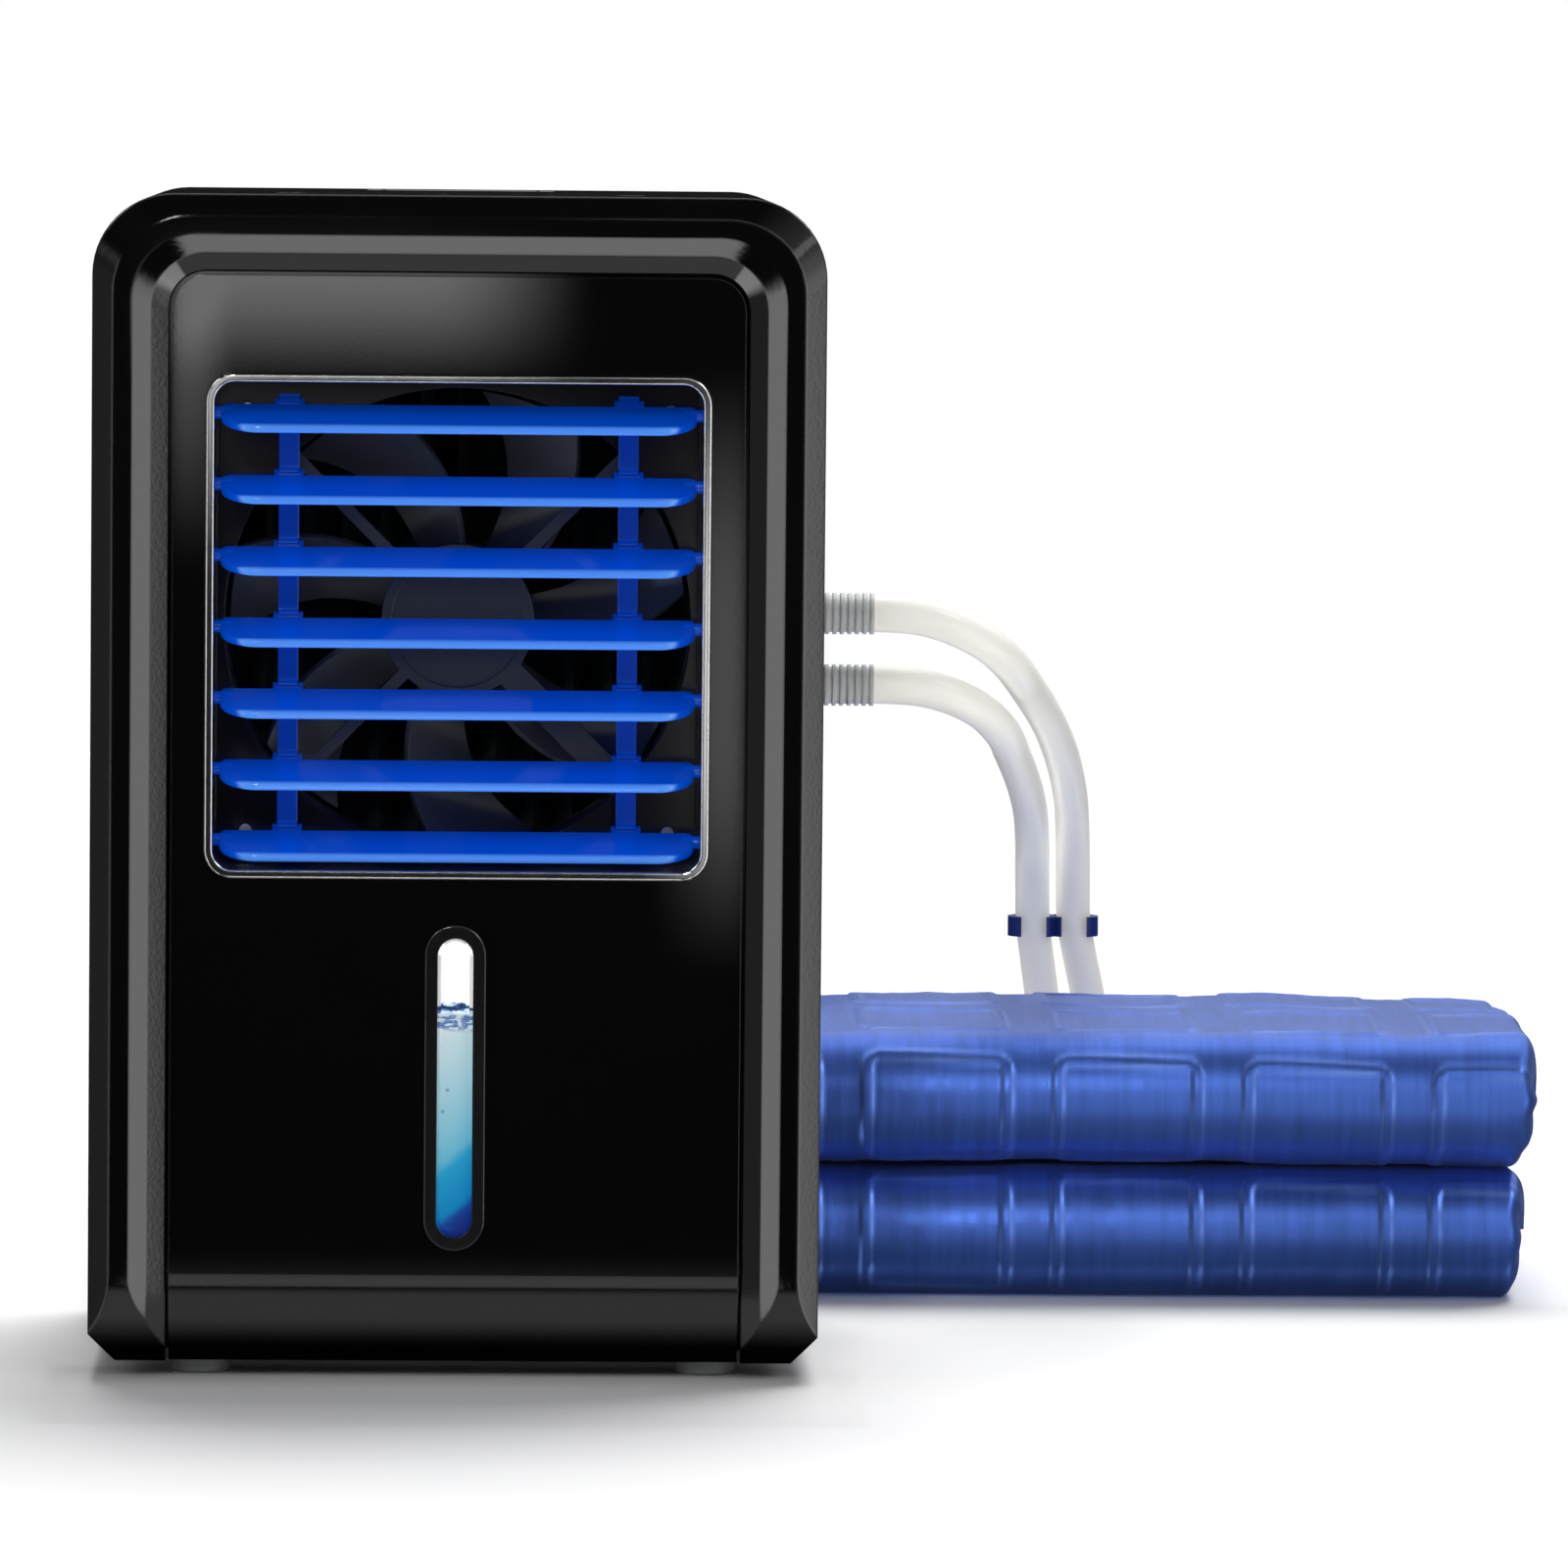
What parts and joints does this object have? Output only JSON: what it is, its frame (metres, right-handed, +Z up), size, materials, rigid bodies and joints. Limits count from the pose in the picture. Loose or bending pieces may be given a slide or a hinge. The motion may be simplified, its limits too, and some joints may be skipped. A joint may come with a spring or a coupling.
{
  "type": "water cooling mattress pad",
  "caption": "Tabletop water cooler with tilting air louvres, fan, tank and pump, joined by soft hoses to a folded cooling mattress pad.",
  "frame": {"origin": "middle of the floor under the host and the pad together", "axes": "+X along the width towards the hose side, +Y from the front to the back, +Z up"},
  "size_m": [0.3809, 0.4608, 0.292],
  "materials": {
    "casing": "polished black shell",
    "panel": "polished black front",
    "trim": "bright thin trim",
    "duct": "satin dark grey",
    "louvre": "smooth blue",
    "fan": "satin black",
    "bearing": "sintered sleeve",
    "steel": "plain steel",
    "tank": "milky white",
    "wick": "pleated wet paper",
    "pump": "satin black",
    "connector": "ribbed clear grey",
    "tube": "soft clear tube",
    "hose": "soft translucent hose",
    "lens": "clear window",
    "water": "blue tinted water",
    "board": "printed circuit board",
    "button": "dark grey caps",
    "filter": "open foam",
    "foot": "clear soft foot",
    "cover": "satin royal blue cloth"
  },
  "bodies": {
    "host": {"front_shell": "casing", "rear_shell": "casing", "front_panel": "panel", "louvre_bezel": "trim", "louvre_frame": "duct", "fan_frame": "fan", "fan_bearing": "bearing", "fan_screws": "steel", "housing_screws": "steel", "water_tank": "tank", "tank_lid": "tank", "drip_tray": "tank", "wick_frame": "tank", "cooling_wick": "wick", "pump_housing": "pump", "pump_cover": "pump", "supply_barb": "connector", "return_barb": "connector", "barb_nuts": "connector", "supply_tube": "tube", "return_tube": "tube", "gauge_bezel": "panel", "gauge_lens": "lens", "gauge_chamber": "tank", "gauge_water": "water", "control_board": "board", "button_switches": "duct", "filler_hinge_pin": "steel", "filler_funnel": "tank", "intake_grille": "casing", "intake_filter": "filter", "dc_jack": "duct", "feet": "foot", "cooling_pad": "cover", "pad_ports": "connector", "supply_hose": "hose", "return_hose": "hose", "supply_hose_coil": "hose", "return_hose_coil": "hose", "supply_hose_tail": "hose", "return_hose_tail": "hose", "hose_clip": "louvre"},
    "louvre_blade_1": {"louvre_blade_1": "louvre"},
    "louvre_blade_2": {"louvre_blade_2": "louvre"},
    "louvre_blade_3": {"louvre_blade_3": "louvre"},
    "louvre_blade_4": {"louvre_blade_4": "louvre"},
    "louvre_blade_5": {"louvre_blade_5": "louvre"},
    "louvre_blade_6": {"louvre_blade_6": "louvre"},
    "louvre_blade_7": {"louvre_blade_7": "louvre"},
    "louvre_link_left": {"louvre_link_left": "louvre"},
    "louvre_link_right": {"louvre_link_right": "louvre"},
    "fan_rotor": {"fan_rotor": "fan", "fan_shaft": "steel"},
    "pump_impeller": {"pump_impeller": "louvre", "pump_shaft": "steel"},
    "power_button": {"power_button": "button"},
    "fan_button": {"fan_button": "button"},
    "timer_button": {"timer_button": "button"},
    "filler_lid": {"filler_lid": "casing"}
  },
  "joints": [
    {"name": "louvre_tilt", "type": "hinge", "parent": "host", "child": "louvre_blade_4", "pos_m": [-0.095, -0.139, 0.1851], "axis": [1, 0, 0], "range_deg": [-40, 4]},
    {"name": "louvre_tilt_1", "type": "hinge", "parent": "host", "child": "louvre_blade_1", "pos_m": [-0.095, -0.139, 0.2379], "axis": [1, 0, 0], "range_deg": [-40, 4]},
    {"name": "louvre_tilt_2", "type": "hinge", "parent": "host", "child": "louvre_blade_2", "pos_m": [-0.095, -0.139, 0.2203], "axis": [1, 0, 0], "range_deg": [-40, 4]},
    {"name": "louvre_tilt_3", "type": "hinge", "parent": "host", "child": "louvre_blade_3", "pos_m": [-0.095, -0.139, 0.2027], "axis": [1, 0, 0], "range_deg": [-40, 4]},
    {"name": "louvre_tilt_5", "type": "hinge", "parent": "host", "child": "louvre_blade_5", "pos_m": [-0.095, -0.139, 0.1675], "axis": [1, 0, 0], "range_deg": [-40, 4]},
    {"name": "louvre_tilt_6", "type": "hinge", "parent": "host", "child": "louvre_blade_6", "pos_m": [-0.095, -0.139, 0.1499], "axis": [1, 0, 0], "range_deg": [-40, 4]},
    {"name": "louvre_tilt_7", "type": "hinge", "parent": "host", "child": "louvre_blade_7", "pos_m": [-0.095, -0.139, 0.1323], "axis": [1, 0, 0], "range_deg": [-40, 4]},
    {"name": "louvre_link_left_swing", "type": "hinge", "parent": "louvre_blade_4", "child": "louvre_link_left", "pos_m": [-0.095, -0.13169, 0.1872], "axis": [1, 0, 0], "range_deg": [-4, 40]},
    {"name": "louvre_link_right_swing", "type": "hinge", "parent": "louvre_blade_4", "child": "louvre_link_right", "pos_m": [-0.095, -0.13169, 0.1872], "axis": [1, 0, 0], "range_deg": [-4, 40]},
    {"name": "fan_spin", "type": "hinge", "parent": "host", "child": "fan_rotor", "pos_m": [-0.095, -0.1105, 0.186], "axis": [0, 1, 0], "continuous": true},
    {"name": "pump_spin", "type": "hinge", "parent": "host", "child": "pump_impeller", "pos_m": [-0.081, -0.043, 0.025], "axis": [0, 0, 1], "continuous": true},
    {"name": "power_press", "type": "slide", "parent": "host", "child": "power_button", "axis": [0, 0, -1], "range_m": [0, 0.0008], "stiffness_N_per_m": 400},
    {"name": "fan_press", "type": "slide", "parent": "host", "child": "fan_button", "axis": [0, 0, -1], "range_m": [0, 0.0008], "stiffness_N_per_m": 400},
    {"name": "timer_press", "type": "slide", "parent": "host", "child": "timer_button", "axis": [0, 0, -1], "range_m": [0, 0.0008], "stiffness_N_per_m": 400},
    {"name": "filler_lid_open", "type": "hinge", "parent": "host", "child": "filler_lid", "pos_m": [-0.095, -0.0294, 0.2898], "axis": [-1, 0, 0], "range_deg": [0, 100]}
  ],
  "couplings": [
    {"joint": "louvre_tilt_1", "follows": "louvre_tilt", "ratio": 1},
    {"joint": "louvre_tilt_2", "follows": "louvre_tilt", "ratio": 1},
    {"joint": "louvre_tilt_3", "follows": "louvre_tilt", "ratio": 1},
    {"joint": "louvre_tilt_5", "follows": "louvre_tilt", "ratio": 1},
    {"joint": "louvre_tilt_6", "follows": "louvre_tilt", "ratio": 1},
    {"joint": "louvre_tilt_7", "follows": "louvre_tilt", "ratio": 1},
    {"joint": "louvre_link_left_swing", "follows": "louvre_tilt", "ratio": -1},
    {"joint": "louvre_link_right_swing", "follows": "louvre_tilt", "ratio": -1}
  ]
}
